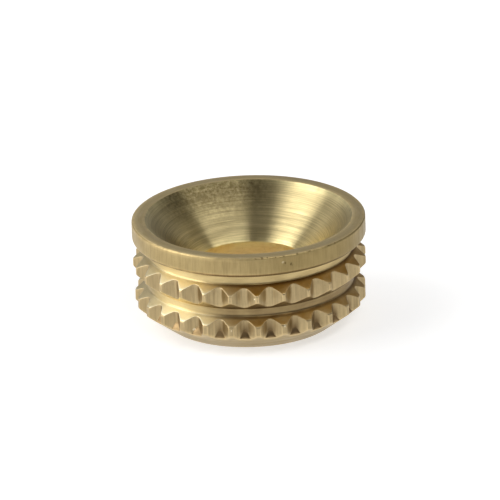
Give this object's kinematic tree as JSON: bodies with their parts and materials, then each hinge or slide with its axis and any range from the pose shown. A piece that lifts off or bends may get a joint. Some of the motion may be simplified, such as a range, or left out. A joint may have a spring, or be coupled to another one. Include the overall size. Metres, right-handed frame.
{
  "type": "screw cup socket",
  "caption": "Round metal cup with a flat lip, countersunk mouth, plain through hole and knurled rings outside, pressed into wood to seat a countersunk screw.",
  "frame": {"origin": "centre of the flat base", "axes": "+Z along the screw hole, out of the countersunk mouth; +X and +Y across, with one flute centred on -Y"},
  "size_m": [0.0126, 0.0126, 0.0058],
  "materials": {
    "brass": "turned, satin, unlacquered"
  },
  "bodies": {
    "root": {"screw_cup": "brass"}
  },
  "joints": []
}
